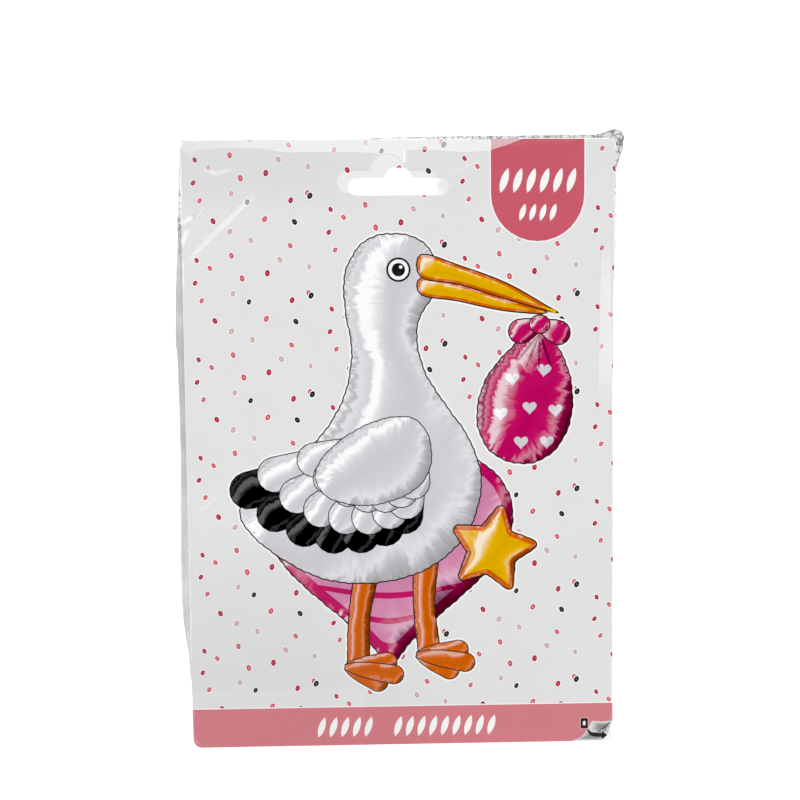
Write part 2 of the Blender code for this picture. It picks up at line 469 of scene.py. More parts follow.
def puckered(outline, depth, pitch):
    """Return the outline with the small waves that a heat-sealed foil edge pulls into."""
    ring = outline + outline[:1]
    total = sum((b - a).length for a, b in zip(ring, ring[1:]))
    waves = round(total / pitch)
    fine = []
    run = 0.0
    for a, b in zip(ring, ring[1:]):
        span = (b - a).length
        pieces = max(1, round(span / (pitch / 4)))
        across = at((b - a).y, (a - b).x).normalized()
        for piece in range(pieces):
            here = run + span * piece / pieces
            phase = 2 * pi * waves * here / total
            swing = 0.6 * sin(phase) + 0.4 * sin(phase * 0.37 + 1.3)
            fine.append(a.lerp(b, piece / pieces) + across * depth * swing)
        run += span
    return fine


# The print: patches of ink in painter's order

Patch = namedtuple("Patch", "ink outline lobe", defaults=[None])

# Confetti: the dots of one cell of the pattern, and the two steps that repeat it
CONFETTI_DOWN = (0.0, -33.8)
CONFETTI_ACROSS = (45.7, -16.85)
CONFETTI = {
    "crimson": [(-69.6, 98.4), (-70.3, 90.7), (-63.8, 77.8), (-45.7, 93.9), (-37.4, 84.7)],
    "salmon": [(-65.2, 95.7), (-68.2, 84.7), (-57.8, 99.9), (-54.3, 92.2), (-46.3, 78.4),
               (-37.8, 69.4), (-31.8, 87.2)],
    "beige": [(-57.5, 87.0), (-41.4, 98.4), (-58.2, 74.2), (-51.1, 71.3), (-31.4, 96.0)],
    "black": [(-52.1, 84.2), (-36.2, 77.4), (-30.9, 86.2)],
}
DOT_HALF = (0.78, 1.04)
DOT_RIM = 0.3
DOT_TILT = radians(35)


def confetti():
    """Return the confetti: small tilted dots with a white rim and a paler heart."""
    patches = []
    turn = 0
    for ink, places in CONFETTI.items():
        for start_x, start_y in places:
            turn += 1
            tilt = DOT_TILT * sin(2.4 * turn)
            size = 1.0 + 0.1 * sin(5.1 * turn)
            half, tall = (value * size for value in DOT_HALF)
            for column in range(-1, 5):
                for row in range(-5, 10):
                    x = start_x + column * CONFETTI_ACROSS[0] + row * CONFETTI_DOWN[0]
                    y = start_y + column * CONFETTI_ACROSS[1] + row * CONFETTI_DOWN[1]
                    if not CARD_LEFT - 1 < x < CARD_RIGHT + 1 or abs(y) > HALF_HEIGHT + 1:
                        continue
                    patches += [
                        Patch("white", oval(x, y, half + DOT_RIM, tall + DOT_RIM, tilt, 10)),
                        Patch(ink, oval(x, y, half, tall, tilt, 12)),
                        Patch(ink + " pale", oval(x, y, half / 3, tall / 3, tilt, 6))]
    return patches


# Rows of strokes in place of words: how they lean, and their width as a share of their pitch
STROKE_LEAN = radians(72)
STROKE_WIDTH = 0.56
# The tab's rows as (y, height, count, pitch), and the band's groups as (x, count)
TAB_MIDDLE = 46.8
TAB_ROWS = [(91.0, 8.4, 6, 4.6), (80.2, 5.8, 4, 3.5)]
TITLE_Y = -98.5
TITLE_HEIGHT = 7.2
TITLE_PITCH = 4.1
TITLE_GROUPS = [(-21.0, 5), (14.0, 9)]
# How far the tab and the band run on past the card, and the white line round them
BLEED = 1.0
TAB_RIM = 0.45
BAND_RIM = 0.4


def strokes(x, y, height, count, pitch):
    """Return a row of slanted strokes in place of words."""
    patches = []
    for index in range(count):
        foot = x + (index - (count - 1) / 2) * pitch - cos(STROKE_LEAN) * height / 2
        patches.append(Patch("white", leaf(foot, y - height / 2, height / sin(STROKE_LEAN),
                                           pitch * STROKE_WIDTH, STROKE_LEAN)))
    return patches


def tab(settings):
    """Return the tab that hangs from the card's top, with two rows of strokes."""
    half = settings.tab_width / 2
    top = HALF_HEIGHT + BLEED
    patches = []
    for ink, margin in (("white", TAB_RIM), ("rose", 0.0)):
        foot = HALF_HEIGHT - settings.tab_drop - margin
        patches.append(Patch(ink, rounded([
            (TAB_MIDDLE - half - margin, foot, half + margin - 0.01),
            (TAB_MIDDLE + half + margin, foot, half + margin - 0.01),
            (TAB_MIDDLE + half + margin, top, 0.0),
            (TAB_MIDDLE - half - margin, top, 0.0)])))
    for y, height, count, pitch in TAB_ROWS:
        patches += strokes(TAB_MIDDLE, y, height, count, pitch)
    return patches


def band(settings):
    """Return the band along the card's bottom, with its strokes and its peel sign."""
    low = -HALF_HEIGHT - BLEED
    top = -HALF_HEIGHT + settings.band
    wide = CARD_RIGHT + 2 * BLEED
    patches = [Patch("white", box_outline(-wide, wide, low, top + BAND_RIM)),
               Patch("pink", box_outline(-wide, wide, low, top))]
    for x, count in TITLE_GROUPS:
        patches += strokes(x, TITLE_Y, TITLE_HEIGHT, count, TITLE_PITCH)
    return patches + peel_sign()


def peel_sign():
    """Return the sign for peeling a label's corner: a turned corner, an arrow and a mark."""
    tip, fold_foot = at(73.1, -97.8), at(67.5, -101.9)
    corner = [at(56.5, -106.0), at(59.4, -104.8), at(62.4, -103.3), at(64.3, -101.1),
              at(66.1, -97.8), at(69.3, -98.1), tip, at(76.0, -97.8), at(76.0, -106.0)]
    curl = [at(59.4, -104.8), at(62.4, -103.3), at(64.3, -101.1), at(66.4, -99.0), tip,
            at(72.7, -99.0), at(72.2, -100.7), at(71.8, -102.1), at(71.0, -103.8),
            at(69.6, -104.8)]
    flap = [at(66.1, -97.8), at(69.3, -98.1), tip, at(70.8, -99.6), fold_foot,
            at(65.6, -101.8), at(64.9, -101.0), at(65.4, -99.6)]
    patches = [Patch("white", corner)]
    for step, ink in enumerate(("grey 1", "grey 2", "grey 3")):
        low = at(67.0, -103.0)
        patches.append(Patch(ink, [point.lerp(low, 0.20 * step) for point in curl]))
    shade = [tip, fold_foot, at(68.6, -102.9), at(70.6, -101.4)]
    patches.append(Patch("grey 3", shade))
    for step in range(4):
        patches.append(Patch(f"grey {step}", [
            point.lerp(fold_foot.lerp(tip, 0.45), 0.17 * step) for point in flap]))
    patches.append(Patch("grey 4", [tip, at(70.2, -99.9), fold_foot, at(70.9, -100.4)]))
    shaft = band_outline([(64.5, -100.9), (66.0, -102.6), (69.7, -103.0)], [0.5, 1.3, 1.5])
    head = [at(69.5, -101.3), at(71.5, -103.0), at(69.5, -104.7)]
    mark = box_outline(62.0, 64.6, -100.5, -96.8, 0.3)
    return patches + [Patch("white", grown(head, 0.35)), Patch("black", shaft),
                      Patch("black", head), Patch("pale pink", grown(mark, 0.3)),
                      Patch("black", mark), Patch("white", oval(63.3, -98.6, 0.5, 0.9))]


# The picture: a white stork with a bundle, a heart and a star, all blown up from foil
STORK = [(-4, 73), (6, 71), (12, 63), (11, 53), (6, 45), (5, 36), (8, 25), (15, 14), (23, 2),
         (27, -13), (22, -30), (9, -42), (-8, -47), (-26, -46), (-41, -39), (-53, -29),
         (-56, -20), (-47, -11), (-34, -2), (-25, 8), (-19, 20), (-17, 34), (-19, 47),
         (-19, 60), (-13, 70)]
BEAK_UPPER = [(7, 66), (20, 62), (36, 56), (50, 48), (53, 46), (36, 51), (20, 56), (7, 58.5)]
BEAK_LOWER = [(7, 58), (20, 55.6), (36, 50.6), (50, 46), (35, 47), (19, 50.5), (7, 52.5)]
EYE = (-1.0, 61.0)
WING_ROOT = (4.0, 2.0)
FEATHERS = 7
LONGEST_FEATHER = 66.0
FEATHER_STEP = 5.6
# Rows of feathers: ink, share of the full length, width, and the first and last one's turn
FEATHER_ROWS = [("foil black", 1.0, 12.5, 196, 262), ("foil white", 0.84, 12.0, 193, 262),
                ("foil white", 0.62, 11.5, 190, 268)]
TOES = [(6, 18.0), (-26, 16.0), (-10, 20.5)]
HEART = (-5.0, -41.5, 86.0)
HEART_STRIPES = (-52.0, -61.0, -70.0)
STAR = (31.0, -36.0, 17.0)
BUNDLE = [(47, 41), (53, 35), (58, 23), (58, 9), (52, -2), (42, -6), (31, -2), (26, 9),
          (29, 23), (39, 35)]
BUNDLE_HEARTS = [(38, 23), (49, 26), (34, 11), (44, 13), (53, 12), (41, 1), (50, 1)]
KNOT = (47.5, 42.0)
BOLD_LINE = 0.45
THIN_LINE = 0.35
PUCKER_PITCH = 3.2
PICTURE_RIM = 0.6


def drawn(ink, outline, line=BOLD_LINE, pucker=0.0):
    """Return a foil form: its black line, then its fill shaded as blown up."""
    if pucker:
        outline = puckered(outline, pucker, PUCKER_PITCH)
    return [Patch("black", grown(outline, line)), Patch(ink, outline, outline)]


def wing():
    """Return the folded wing: long black-tipped feathers under two shorter rows."""
    patches = []
    for ink, share, width, first, last in FEATHER_ROWS:
        for index in range(FEATHERS):
            turn = radians(first + (last - first) * index / (FEATHERS - 1))
            length = share * (LONGEST_FEATHER - FEATHER_STEP * index)
            patches += drawn(ink, feather(*WING_ROOT, length, width, turn), THIN_LINE)
    cap = smooth([(9, 3), (3, 10), (-9, 9), (-22, 2), (-30, -8), (-26, -17), (-12, -20),
                  (2, -16), (9, -8)])
    return patches + drawn("foil white", cap, THIN_LINE, 0.15)


def leg(x, y, foot_x, foot_y):
    """Return one leg with its foot, which points to the right."""
    shin = band_outline([(x, y), ((x + foot_x) / 2 - 1.5, (y + foot_y) / 2), (foot_x, foot_y)],
                        [8.5, 7.0, 7.5])
    patches = drawn("foil orange", shin, 0.4, 0.12)
    for turn, reach in TOES:
        toe = feather(foot_x - 4.6, foot_y, reach, 6.4, radians(turn))
        patches += drawn("foil orange", toe, THIN_LINE)
    return patches


def bundle():
    """Return the bundle that hangs from the beak, with its knot."""
    bag = smooth(BUNDLE)
    patches = drawn("foil magenta", bag, BOLD_LINE, 0.22)
    for x, y in BUNDLE_HEARTS:
        patches.append(Patch("foil white", heart(x, y, 5.0, radians(6 * sin(x)), 18), bag))
    for lean in (-0.5, -0.2, 0.15, 0.5):
        patches.append(Patch("foil plum", leaf(KNOT[0], KNOT[1] - 3.0, 13.0, 1.0,
                                               radians(-100) + lean), bag))
    for turn in (200, 335):
        patches += drawn("foil magenta", feather(*KNOT, 11.0, 8.0, radians(turn)))
    return patches + drawn("foil magenta", oval(*KNOT, 3.4, 3.0, 0.0, 14))


def beak():
    """Return the beak's two halves, gold with an orange edge."""
    patches = []
    for half in (BEAK_LOWER, BEAK_UPPER):
        outline = smooth(half, 4)
        patches += drawn("foil orange", outline)
        patches.append(Patch("foil gold", grown(outline, -0.9), outline))
    return patches


def eye():
    """Return the plain round eye."""
    x, y = EYE
    return [Patch("black", oval(x, y, 4.2, 4.2, 0.0, 24)),
            Patch("white", oval(x, y, 3.5, 3.5, 0.0, 24)),
            Patch("black", oval(x, y, 2.3, 2.3, 0.0, 20)),
            Patch("white", oval(x + 0.8, y + 0.9, 0.6, 0.6, 0.0, 10))]


def love_heart():
    """Return the big heart behind the bird, pink with stripes and a magenta rim."""
    outline = heart(*HEART, 0.0, 64)
    patches = drawn("foil magenta", outline, BOLD_LINE, 0.22)
    patches.append(Patch("foil pink", grown(outline, -3.4), outline))
    middle = HEART[0]
    for y in HEART_STRIPES:
        reach = 34.0 - (-44.0 - y) * 1.05
        stripe = band_outline([(middle - reach, y + 3.5), (middle, y),
                               (middle + reach, y + 3.5)], [1.6, 2.2, 1.6])
        patches.append(Patch("foil magenta", stripe, outline))
    return patches


def gold_star():
    """Return the gold star with its orange rim."""
    outline = star(*STAR, radians(-12))
    return drawn("foil orange", outline, BOLD_LINE, 0.12) + [
        Patch("foil gold", grown(outline, -1.6), outline)]


def picture():
    """Return the whole picture, with a white rim round it."""
    forms = [love_heart(), leg(-12, -40, -16, -77), leg(8, -38, 9, -73),
             drawn("foil white", smooth(STORK), BOLD_LINE, 0.2), wing(), beak(), eye(),
             gold_star(), bundle()]
    patches = [patch for form in forms for patch in form]
    rims = [Patch("white", grown(patch.outline, PICTURE_RIM)) for patch in patches
            if patch.ink == "black"]
    return rims + patches


# Shading of blown-up foil in the print


def inside(x, y, outline):
    """Tell which points lie inside the outline."""
    ax, ay = outline[:, 0], outline[:, 1]
    bx, by = np.roll(ax, -1), np.roll(ay, -1)
    rise = np.where(by == ay, 1.0, by - ay)
    crossed = (ay > y[:, None]) != (by > y[:, None])
    reach = ax + (y[:, None] - ay) * (bx - ax) / rise
    return (crossed & (x[:, None] < reach)).sum(axis=1) % 2 == 1


def swell(outline):
    """Return the tilt of a foil form blown up inside the outline, on a grid of 1 mm."""
    low = np.floor(outline.min(axis=0)) - 2
    size = (np.ceil(outline.max(axis=0)) + 3 - low).astype(int)
    rows, columns = np.mgrid[0:size[1], 0:size[0]]
    within = inside(columns.ravel() + low[0], rows.ravel() + low[1], outline)
    within = within.reshape(rows.shape)[1:-1, 1:-1]
    height = np.zeros(rows.shape)
    for _ in range(int(min(size) ** 2 / 3) + 60):
        around = (height[:-2, 1:-1] + height[2:, 1:-1] + height[1:-1, :-2] + height[1:-1, 2:])
        height[1:-1, 1:-1] = np.where(within, around / 4 + 0.25, 0.0)
    up, across = np.gradient(np.sqrt(height))
    steep = np.sqrt(1 + up ** 2 + across ** 2)
    return low, -across / steep, -up / steep


def sampled(low, field, x, y):
    """Return a grid's values between its points."""
    x, y = x - low[0], y - low[1]
    column = np.clip(np.floor(x).astype(int), 0, field.shape[1] - 2)
    row = np.clip(np.floor(y).astype(int), 0, field.shape[0] - 2)
    right, up = x - column, y - row
    lower = field[row, column] * (1 - right) + field[row, column + 1] * right
    upper = field[row + 1, column] * (1 - right) + field[row + 1, column + 1] * right
    return lower * (1 - up) + upper * up


def seam_place(x, y, outline):
    """Return each point's distance from the outline and the run along it to there."""
    start = outline
    step = np.roll(outline, -1, axis=0) - start
    span = np.maximum(np.hypot(step[:, 0], step[:, 1]), 1e-9)
    run = np.concatenate([[0.0], np.cumsum(span)[:-1]])
    dx, dy = x[:, None] - start[:, 0], y[:, None] - start[:, 1]
    share = np.clip((dx * step[:, 0] + dy * step[:, 1]) / span ** 2, 0.0, 1.0)
    far = np.hypot(dx - share * step[:, 0], dy - share * step[:, 1])
    nearest = far.argmin(axis=1)
    rows = np.arange(len(x))
    return far[rows, nearest], run[nearest] + share[rows, nearest] * span[nearest]


def partition(patches, spots):
    """Return points, triangles and the indices of the patches that cover each triangle."""
    points = list(spots)
    edges = []
    for patch in patches:
        first, count = len(points), len(patch.outline)
        edges += [(first + index, first + (index + 1) % count) for index in range(count)]
        points += patch.outline
    points, _, faces, _, _, _ = delaunay_2d_cdt(points, edges, [], 0, 0.001, False)
    corners = table(points)[np.array(faces)]
    middle = corners.mean(axis=1)
    covers = [[] for _ in faces]
    for index, patch in enumerate(patches):
        outline = table(patch.outline)
        near = np.all((middle > outline.min(axis=0)) & (middle < outline.max(axis=0)), axis=1)
        near = np.flatnonzero(near)
        for face in near[inside(middle[near, 0], middle[near, 1], outline)]:
            covers[face].append(index)
    return points, faces, covers


def grid_spots(left, right, lower, upper, pitch):
    """Return the points of a staggered grid."""
    spots = []
    rows = int((upper - lower) / pitch)
    columns = int((right - left) / pitch)
    for row in range(rows + 1):
        for column in range(columns + 1):
            spots.append(at(left + (column + 0.5 * (row % 2)) * pitch, lower + row * pitch))
    return spots


# Materials


def ink_finish(name, colour):
    """Return a flat ink on coated board, with the faint unevenness of offset print."""
    finish = Finish(name)
    place = finish.place()
    grain = finish.noise(place, 900.0, 3.0) * 0.6 + finish.noise(place, 60.0) * 0.4
    shade = finish.blend(grain, mixed(colour, BLACK, 0.05), mixed(colour, WHITE, 0.05))
    normal = finish.bump(finish.noise(place, 1500.0, 2.0), 0.00001, 0.4)
    return finish.close(finish.surface({
        "Base Color": shade, "Roughness": 0.42, "Specular IOR Level": 0.35, "Normal": normal}))


def foil_ink_finish(name, colour, shade, gleam):
    """Return the picture of coloured foil: reflections over its swell, pleats at its seam."""
    finish = Finish(name)
    place = finish.place()
    east, north, _ = finish.attribute("puff")
    inset, along, pleated = finish.attribute("seam")
    drift = finish.noise(finish.scaled(place, (1.0, 0.45, 1.0)), 62.0, 1.0)
    ripple = finish.noise(finish.scaled(place, (1.0, 0.3, 1.0)), 420.0, 1.0)
    rim = finish.node("ShaderNodeCombineXYZ", "Vector", {}, {"X": along, "Y": inset * 0.05})
    short = (finish.noise(rim, 0.85) - 0.5) * finish.math("EXPONENT", inset * -0.55)
    long = (finish.noise(rim, 0.42, 2.0) - 0.5) * finish.math("EXPONENT", inset * -0.10)
    tilt = (0.45 + north * 0.26 - east * 0.40 + (drift - 0.5) * 0.34 + (ripple - 0.5) * 0.03
            + (short * 0.42 + long * 0.34) * pleated)
    deep, dim, soft = (mixed(colour, BLACK, depth * shade) for depth in (0.80, 0.45, 0.14))
    pale, bright = (mixed(colour, WHITE, height * gleam) for height in (0.36, 1.0))
    tone = finish.ramp(tilt, [
        (0.08, deep), (0.20, dim), (0.27, pale), (0.33, colour), (0.42, soft), (0.50, colour),
        (0.54, pale), (0.575, bright), (0.63, bright), (0.67, colour), (0.76, pale),
        (0.81, dim), (0.92, bright)])
    return finish.close(finish.surface({
        "Base Color": tone, "Roughness": 0.40, "Specular IOR Level": 0.35}))


def board_finish(name, colour):
    """Return uncoated board with fine fibres."""
    finish = Finish(name)
    place = finish.place()
    fibre = finish.noise(finish.scaled(place, (1.0, 0.25, 1.0)), 1400.0, 4.0)
    cloud = finish.noise(place, 40.0)
    shade = finish.blend(fibre * 0.7 + cloud * 0.3, mixed(colour, BLACK, 0.08),
                         mixed(colour, WHITE, 0.10))
    return finish.close(finish.surface({
        "Base Color": shade, "Roughness": 0.85, "Specular IOR Level": 0.2,
        "Normal": finish.bump(fibre, 0.00003, 0.6)}))


# Where the balloon was folded before it was packed, in metres on its back: by x and by y
FOLD_LINES = {"X": (-0.034, 0.021), "Y": (-0.026, 0.031)}


def silver_finish(settings):
    """Return bare foil: nearly smooth at the side, crinkled and creased on the back."""
    finish = Finish("silver_foil")
    place = finish.place()
    parts = dict(zip("XYZ", finish.parts(place)))
    back = finish.math("MAXIMUM", 1.0 - parts["Z"] * 400.0, 0.0)
    cells = finish.cells(finish.scaled(place, (1.0, 0.7, 1.0)), 85.0)
    dull = finish.math("MINIMUM", cells * 6.0, 1.0)
    small = finish.noise(place, 420.0, 3.0)
    soft = finish.noise(place, 55.0, 2.0)
    lines = 0.0
    for axis, places in FOLD_LINES.items():
        for spot in places:
            off = finish.math("ABSOLUTE", parts[axis] - spot + (soft - 0.5) * 0.002)
            lines = lines + finish.math("EXPONENT", off * -700.0)
    height = cells * 0.8 + small * 0.2 + back * (cells * 2.6 + lines * 1.6 + soft * 1.5)
    shade = finish.blend(soft, mixed(settings.silver, BLACK, 0.10), tuple(settings.silver))
    return finish.close(finish.surface({
        "Base Color": shade, "Metallic": 0.72, "Normal": finish.bump(height, 0.0005, 0.4),
        "Roughness": settings.roughness + 0.14 * soft - 0.06 * dull - 0.08 * back}))


def film_finish(settings):
    """Return clear film: see-through, with a gloss that grows towards glancing views, and with
    painted light and shade mixed in as a white glowing layer and a grey layer.
    """
    finish = Finish("clear_film")
    place = finish.place()
    ripple = finish.noise(place, 120.0, 2.0)
    normal = finish.bump(ripple, 0.0004, 0.5)
    facing = finish.node("ShaderNodeLayerWeight", "Facing", {}, {"Blend": 0.5})
    gloss = settings.mirror + (1 - settings.mirror) * facing ** 5.0
    shine = finish.node("ShaderNodeBsdfGlossy", "BSDF", {}, {"Roughness": 0.05, "Normal": normal})
    # Painted light and shade from the film's own attribute: white with a glow over the creases'
    # streaks, in place of their reflections, and over the lip, to make it as bright as the bare
    # card; grey, as painted shade, where the film is taken to lie loose
    white, loose, _ = finish.attribute("wear")
    # Share of the grey painted shade where the film is taken to lie loose
    dull = loose * settings.painted_shade
    # The painted layer: white for painted light, grey for painted shade, and a faint white glow
    # that is painted light too
    painted_layer = finish.surface({
        "Base Color": finish.blend(white / (white + dull + 0.0001), (0.16,) * 3, (0.98,) * 3),
        "Roughness": 0.45, "Emission Color": (*WHITE, 1.0), "Emission Strength": 0.14})
    body = finish.mix(white + dull, finish.clear((0.995,) * 3), painted_layer)
    return finish.close(finish.mix(gloss, body, shine))


def fold_shade_finish():
    """Return the film where it is folded close and crumpled, painted with grey shade: an uneven
    layer, darker along its crinkle lines.
    """
    finish = Finish("film_edge")
    place = finish.place()
    _, _, fold_shade = finish.attribute("wear")
    lines = finish.math("MINIMUM", finish.cells(place, 400.0) * 8.0, 1.0)
    cloud = finish.noise(place, 380.0, 1.0)
    painted_shade = fold_shade * (0.40 + 0.16 * cloud + 0.35 * (1.0 - lines) ** 2.0)
    tone = finish.blend(lines, (0.10,) * 3, (0.52,) * 3)
    folded = finish.surface({"Base Color": tone, "Roughness": 0.45})
    return finish.close(finish.mix(painted_shade, finish.clear(WHITE), folded))


# Building


def add_object(name, data):
    """Link a new object and return it."""
    added = bpy.data.objects.new(name, data)
    bpy.context.scene.collection.objects.link(added)
    return added


def add_mesh(name, shape, materials):
    """Link a finished mesh and return its object."""
    mesh = bpy.data.meshes.new(name)
    shape.to_mesh(mesh)
    shape.free()
    for material in materials:
        mesh.materials.append(material)
    return add_object(name, mesh)


def add_piece(name, shape, materials, node):
    """Add a finished mesh that stands for a CAD node and rides with the packet."""
    piece = add_mesh(name, shape, materials)
    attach(piece, "root")
    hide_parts(node)
    return piece


def only(kind, items):
    """Return the verts, edges or faces among what a bmesh operator gave."""
    return [item for item in items if isinstance(item, kind)]


def wander(x, y, z):
    """Return smooth noise from -1 to 1."""
    return noise.noise(Vector((x, y, z)))


def drop_loose_points(shape):
    """Delete the points that no face uses."""
    loose = [vert for vert in shape.verts if not vert.link_faces]
    bmesh.ops.delete(shape, geom=loose, context="VERTS")


def between(pairs, value):
    """Return a value read off a line through (place, value) pairs, listed by falling place."""
    places, values = zip(*pairs)
    return float(np.interp(-value, [-place for place in places], values))


# How far the card's side edges stray from straight, by height
LEFT_STRAY = [(105, 0.0), (60, -0.1), (20, 0.0), (-30, 0.05), (-80, 0.2), (-90, 0.35), (-105, 0.5)]
RIGHT_STRAY = [(85, 0.0), (50, -0.5), (15, -0.7), (-15, -0.4), (-80, -0.3), (-105, -0.1)]
STRAY_FROM = 70.0
SIDE_STEPS = 20


def card_outline(corner):
    """Return the card's outline, whose sides aren't quite straight."""
    parts = [step / SIDE_STEPS for step in range(1, SIDE_STEPS)]
    outline = []
    for point in box_outline(CARD_LEFT, CARD_RIGHT, -HALF_HEIGHT, HALF_HEIGHT, corner):
        if outline and abs(point.y - outline[-1].y) > HALF_HEIGHT:
            outline += [outline[-1].lerp(point, part) for part in parts]
        outline.append(point)
    outline += [outline[-1].lerp(outline[0], part) for part in parts]
    for point in outline:
        stray = LEFT_STRAY if point.x < 0 else RIGHT_STRAY
        point.x += between(stray, point.y) * min(1.0, abs(point.x) / STRAY_FROM)
    return outline


def slot_outline(middle, base, width, band_height, hump, foot, top, crest_round):
    """Return a hang slot: a band with round ends and a hump on its upper side."""
    end = band_height / 2 - 0.001
    shoulder = base + band_height
    crest = shoulder + hump
    return rounded([
        (middle - width / 2, base, end), (middle + width / 2, base, end),
        (middle + width / 2, shoulder, end), (middle + foot / 2, shoulder, hump / 4),
        (middle + top / 2, crest, crest_round), (middle - top / 2, crest, crest_round),
        (middle - foot / 2, shoulder, hump / 4), (middle - width / 2, shoulder, end)])


# The hang slots in the drawing, as slot_outline takes them
CARD_SLOT = (-0.8, 86.2, 34.3, 5.7, 3.5, 10.0, 5.6, 2.0)
BAG_SLOT = (-4.6, 86.8, 34.6, 7.8, 5.5, 12.6, 6.4, 4.5)


def card_inks(settings):
    """Return the card's materials by the name of their ink."""
    paper = tuple(settings.paper)
    inks = {
        "paper": ink_finish("card_print", paper),
        "white": ink_finish("white_ink", tuple(settings.white)),
        "pale pink": ink_finish("pale_pink_ink", mixed(tuple(settings.pink), WHITE, 0.3)),
        "board": board_finish("board_back", mixed(paper, (0.55, 0.53, 0.50), 0.3)),
    }
    for step, depth in enumerate((0.05, 0.22, 0.42, 0.64, 0.84)):
        inks[f"grey {step}"] = ink_finish(f"grey_ink_{step}", mixed(paper, BLACK, depth))
    for ink in ("pink", "rose"):
        inks[ink] = ink_finish(ink + "_ink", tuple(getattr(settings, ink)))
    for ink, pale in (("crimson", 0.14), ("salmon", 0.34), ("beige", 0.34), ("black", 0.12)):
        colour = tuple(getattr(settings, ink))
        inks[ink] = ink_finish(ink + "_ink", colour)
        inks[ink + " pale"] = ink_finish("pale_" + ink + "_ink", mixed(colour, WHITE, pale))
    for ink, shade, gleam in (("white", 0.55, 0.9), ("pink", 1.0, 0.75), ("magenta", 1.0, 0.6),
                              ("gold", 0.9, 0.65), ("orange", 0.9, 0.35), ("black", 1.0, 0.12)):
        colour = tuple(getattr(settings, "foil_" + ink))
        inks["foil " + ink] = foil_ink_finish(ink + "_foil_ink", colour, shade, gleam)
    plum = mixed(tuple(settings.foil_magenta), BLACK, 0.6)
    inks["foil plum"] = foil_ink_finish("plum_foil_ink", plum, 1.0, 0.3)
    return inks


# Where the picture gets extra points for its shading: left, right, lower, upper and spacing
PICTURE_GRID = (-61, 61, -86, 80, 1.3)
PAPER_INSET = 0.12


def add_card(settings):
    """Add the printed card."""
    sheet = card_outline(settings.corner)
    art = picture()
    patches = [Patch("white", sheet), Patch("paper", grown(sheet, -PAPER_INSET))]
    patches += confetti() + art + tab(settings) + band(settings)
    patches.append(Patch(CUT, slot_outline(*CARD_SLOT)))
    spots = table(grid_spots(*PICTURE_GRID))
    wanted = np.zeros(len(spots), bool)
    for patch in art:
        if patch.ink == "black":
            wanted |= inside(spots[:, 0], spots[:, 1], table(patch.outline))
    points, faces, origins = partition(patches, [at(*spot) for spot in spots[wanted]])
    inks = card_inks(settings)
    order = list(inks)
    shape = bmesh.new()
    puff = shape.loops.layers.float_vector.new("puff")
    seam = shape.loops.layers.float_vector.new("seam")
    verts = [shape.verts.new((point.x * MM + ORIGIN.x, point.y * MM + ORIGIN.y,
                              CARD_HIGH.z)) for point in points]
    shown = {}
    for corners, origin in zip(faces, origins):
        if 0 not in origin or patches[max(origin)].ink == CUT:
            continue
        top = patches[max(origin)]
        face = shape.faces.new([verts[index] for index in corners])
        face.material_index = order.index(top.ink)
        if top.lobe:
            shown.setdefault(id(top.lobe), (top.lobe, []))[1].append((face, corners))
    for lobe, members in shown.values():
        shade_lobe(table(lobe), members, table(points), puff, seam)
    drop_loose_points(shape)
    thicken_card(shape, order.index("board"), order.index("white"))
    add_piece("card", shape, list(inks.values()), "printed_card")


# A foil form this many millimetres from seam to middle has full pleats, a slimmer one fewer
PLEATED_HALF = 16.0
# A face whose corners are further apart along the seam than this spans its start
SEAM_JUMP = 20.0


def shade_lobe(outline, members, places, puff, seam):
    """Write the tilt of the blown-up form and the place by its seam on its face corners."""
    used = np.array(sorted({index for _, corners in members for index in corners}))
    x, y = places[used, 0], places[used, 1]
    low, east, north = swell(outline)
    east = sampled(low, east, x, y)
    north = sampled(low, north, x, y)
    inset, along = seam_place(x, y, outline)
    row = {index: at_row for at_row, index in enumerate(used)}
    pleated = min(1.0, inset.max() / PLEATED_HALF)
    for face, corners in members:
        runs = along[[row[index] for index in corners]]
        base = runs.min()
        if runs.max() - base > SEAM_JUMP:
            runs = np.full(len(corners), base)
        for loop, index, run in zip(face.loops, corners, runs):
            loop[puff] = (east[row[index]], north[row[index]], 0.0)
            loop[seam] = (inset[row[index]], run, pleated)


def thicken_card(shape, back, side):
    """Give the printed face its thickness: side walls and a plain back."""
    rim = [edge for edge in shape.edges if edge.is_boundary]
    dropped = bmesh.ops.extrude_edge_only(shape, edges=rim)["geom"]
    for face in only(bmesh.types.BMFace, dropped):
        face.material_index = side
    bmesh.ops.translate(shape, verts=only(bmesh.types.BMVert, dropped),
                        vec=(0.0, 0.0, CARD_LOW.z - CARD_HIGH.z))
    foot = [edge for edge in only(bmesh.types.BMEdge, dropped) if edge.is_boundary]
    filled = bmesh.ops.triangle_fill(shape, edges=foot, use_beauty=True)["geom"]
    for face in only(bmesh.types.BMFace, filled):
        face.material_index = back
        if face.normal.z > 0:
            face.normal_flip()


# Steps of one turn of the strip, the longest run in its section in millimetres, and its rows
TURN_STEPS = 12
FOLD_PITCH = 2.5
FOLD_ROWS = 64
# How far in from its left edge the strip follows the film, and how far inside the film it ends
FOLD_EASE = 12.0
FOLD_INSET = 0.45
FOLD_RAGGED = 0.25


